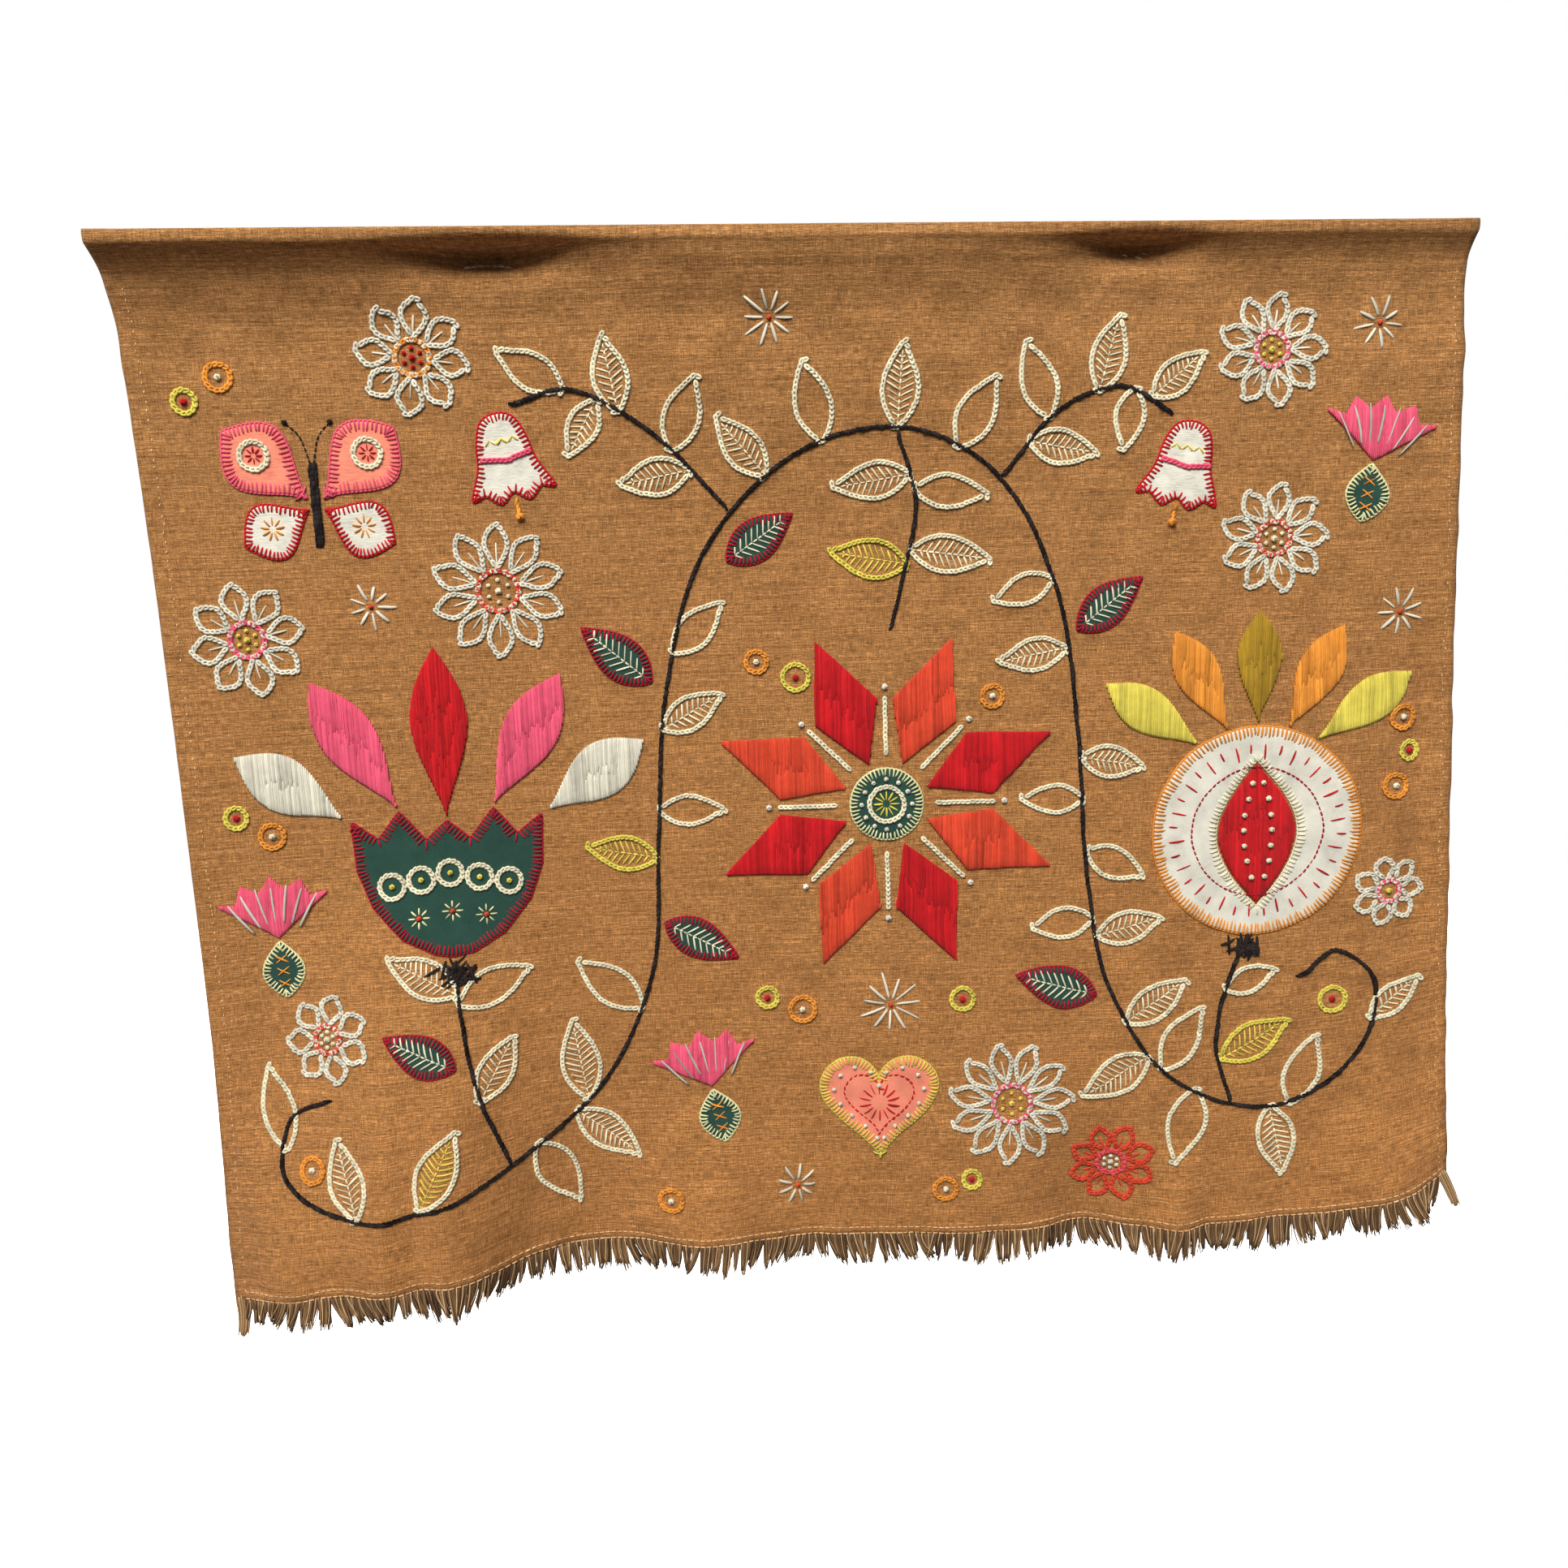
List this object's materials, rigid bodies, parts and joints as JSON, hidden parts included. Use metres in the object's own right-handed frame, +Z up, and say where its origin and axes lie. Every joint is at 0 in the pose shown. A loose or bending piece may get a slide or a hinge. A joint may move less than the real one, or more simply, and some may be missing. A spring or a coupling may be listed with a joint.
{
  "type": "embroidered wall hanging",
  "caption": "Wide linen wall hanging, felt and linen patches and wool stitching on a scrolling stem, rolled top edge standing off the wall, rippled fringed foot.",
  "frame": {"origin": "on the wall plane, at the height of the top edge and half way along it", "axes": "+X across the hanging to the right as seen from its front, +Y out of the back into the wall, +Z up; the worked face looks along -Y"},
  "size_m": [0.9207, 0.0781, 0.7838],
  "materials": {
    "linen_ground": "tan plain-weave linen",
    "fringe_yarn": "loose linen yarn, tan to dark brown",
    "black_wool": "twisted wool yarn",
    "green_felt": "matt dark green felt",
    "white_felt": "matt off-white felt",
    "white_linen": "off-white linen",
    "salmon_felt": "matt salmon felt",
    "red_wool": "crimson wool yarn",
    "orange_red_wool": "orange-red wool yarn",
    "pink_wool": "hot pink wool yarn",
    "white_wool": "white wool yarn",
    "cream_wool": "cream wool yarn",
    "yellow_wool": "lime yellow wool yarn",
    "mustard_wool": "mustard wool yarn",
    "orange_wool": "orange wool yarn"
  },
  "bodies": {
    "root": {"ground_cloth": "linen_ground", "fringe": "fringe_yarn", "vine_stem": "black_wool", "tulip_stem": "black_wool", "star_stem": "black_wool", "fruit_stem": "black_wool", "bell_stem_left": "black_wool", "bell_stem_right": "black_wool", "tulip_cup": "green_felt", "tulip_petal_1": "white_wool", "tulip_petal_2": "pink_wool", "tulip_petal_3": "red_wool", "tulip_petal_4": "pink_wool", "tulip_petal_5": "white_wool", "star_centre": "green_felt", "star_point_1": "red_wool", "star_point_2": "orange_red_wool", "star_point_3": "red_wool", "star_point_4": "orange_red_wool", "star_point_5": "red_wool", "star_point_6": "orange_red_wool", "star_point_7": "red_wool", "star_point_8": "orange_red_wool", "fruit_body": "white_felt", "fruit_seeds": "red_wool", "fruit_crown_1": "yellow_wool", "fruit_crown_2": "orange_wool", "fruit_crown_3": "mustard_wool", "fruit_crown_4": "orange_wool", "fruit_crown_5": "yellow_wool", "heart_patch": "salmon_felt", "upper_wing_left": "salmon_felt", "upper_wing_right": "salmon_felt", "lower_wing_left": "white_linen", "lower_wing_right": "white_linen", "bell_left": "white_linen", "bell_right": "white_linen", "thistle_left_cup": "green_felt", "thistle_left_fan": "pink_wool", "thistle_right_cup": "green_felt", "thistle_right_fan": "pink_wool", "thistle_foot_cup": "green_felt", "thistle_foot_fan": "pink_wool", "leaf_a": "green_felt", "leaf_b": "green_felt", "leaf_c": "green_felt", "leaf_d": "green_felt", "leaf_e": "green_felt", "leaf_f": "green_felt"}
  },
  "joints": []
}
